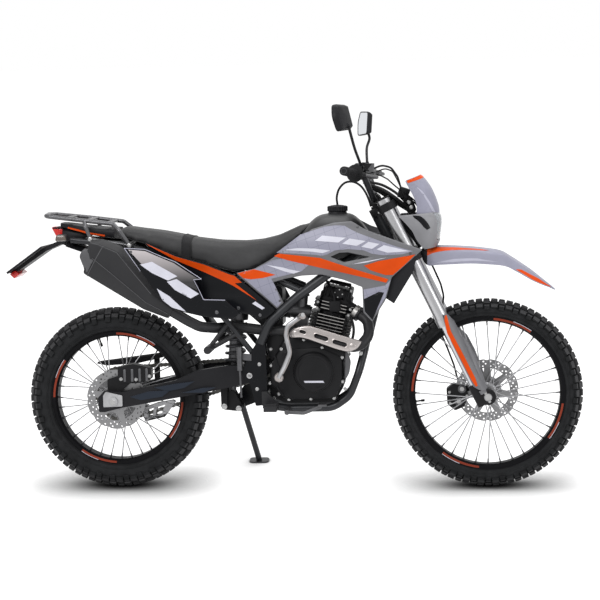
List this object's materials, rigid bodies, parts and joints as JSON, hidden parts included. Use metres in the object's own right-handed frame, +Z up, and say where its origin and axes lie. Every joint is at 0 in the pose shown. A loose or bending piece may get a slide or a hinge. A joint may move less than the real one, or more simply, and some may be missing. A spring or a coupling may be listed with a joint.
{
  "type": "dirt bike",
  "caption": "Upright single-cylinder trail motorcycle with knobbly tyres on wire wheels, long-travel fork, luggage rack and mirrors, leaning on its side stand.",
  "frame": {"origin": "on the floor, under the middle of the bounding box, with the machine leaning on its side stand", "axes": "+X forward, +Y to the rider's left, +Z up; the machine leans 9 degrees to its left about X"},
  "size_m": [2.095, 0.8238, 1.4364],
  "materials": {
    "black_plastic": "fine moulded grain",
    "chain_steel": "oiled",
    "chrome_tube": "polished",
    "disc_steel": "turned",
    "engine_black": "satin black heat paint",
    "exhaust_black": "matt black heat paint",
    "frame_black": "satin black paint",
    "lamp_red": "gloss",
    "lens_clear": "clear",
    "panel_black": "gloss",
    "panel_grey": "gloss",
    "rim_alloy": "satin with red-orange bands",
    "rubber_black": "matt",
    "seat_vinyl": "grained vinyl",
    "shield_steel": "brushed",
    "silver_alloy": "satin silver",
    "spoke_steel": "bright",
    "spring_steel": "gloss",
    "tank_black": "satin moulded",
    "tyre_rubber": "matt"
  },
  "bodies": {
    "chassis": {"main_frame": "frame_black", "engine_cradle": "frame_black", "subframe": "frame_black", "swingarm": "black_plastic", "arm_hardware": "silver_alloy", "drive_chain": "chain_steel", "chain_guides": "silver_alloy", "rear_shock": "spring_steel", "shock_linkage": "silver_alloy", "crankcase": "engine_black", "clutch_cover": "engine_black", "cylinder": "engine_black", "cylinder_head": "engine_black", "carburettor": "silver_alloy", "airbox": "black_plastic", "exhaust_header": "exhaust_black", "heat_shield": "shield_steel", "muffler": "exhaust_black", "number_panel": "panel_black", "fuel_tank": "tank_black", "fuel_cap": "black_plastic", "tank_vent_hose": "rubber_black", "seat": "seat_vinyl", "shrouds": "panel_grey", "shroud_ducts": "black_plastic", "side_panels": "panel_black", "rear_fender": "black_plastic", "rear_lights": "lamp_red", "plate_holder": "black_plastic", "luggage_rack": "frame_black", "foot_pegs": "silver_alloy", "foot_controls": "silver_alloy", "kick_starter": "silver_alloy", "rear_brake_caliper": "engine_black"},
    "steering": {"triple_clamps": "silver_alloy", "fork_outer_tubes": "silver_alloy", "fork_legs": "chrome_tube", "fork_guards": "panel_grey", "front_axle": "spoke_steel", "handlebar": "frame_black", "grips": "rubber_black", "hand_controls": "engine_black", "mirrors": "black_plastic", "instrument": "black_plastic", "headlight_mask": "panel_grey", "headlight": "lens_clear", "front_fender": "panel_grey", "front_brake_caliper": "engine_black", "front_brake_hose": "rubber_black", "control_cables": "rubber_black"},
    "front_wheel": {"front_tyre": "tyre_rubber", "front_rim": "rim_alloy", "front_hub": "spoke_steel", "front_brake_disc": "disc_steel"},
    "rear_wheel": {"rear_tyre": "tyre_rubber", "rear_rim": "rim_alloy", "rear_hub": "spoke_steel", "rear_brake_disc": "disc_steel", "rear_sprocket": "disc_steel"},
    "side_stand": {"side_stand": "frame_black"}
  },
  "joints": [
    {"name": "steering_head", "type": "hinge", "parent": "chassis", "child": "steering", "pos_m": [0.35338, -0.05053, 0.90996], "axis": [-0.4337, 0.141, 0.89], "range_deg": [-42, 42], "deforming": ["tank_vent_hose"]},
    {"name": "front_wheel_spin", "type": "hinge", "parent": "steering", "child": "front_wheel", "pos_m": [0.7025, -0.14056, 0.34152], "axis": [0, 0.9877, -0.1564], "continuous": true},
    {"name": "rear_wheel_spin", "type": "hinge", "parent": "chassis", "child": "rear_wheel", "pos_m": [-0.6575, -0.14197, 0.33263], "axis": [0, 0.9877, -0.1564], "continuous": true},
    {"name": "side_stand_fold", "type": "hinge", "parent": "chassis", "child": "side_stand", "pos_m": [-0.2215, -0.02237, 0.2823], "axis": [0, 0.97, 0.2432], "range_deg": [0, 98]}
  ]
}
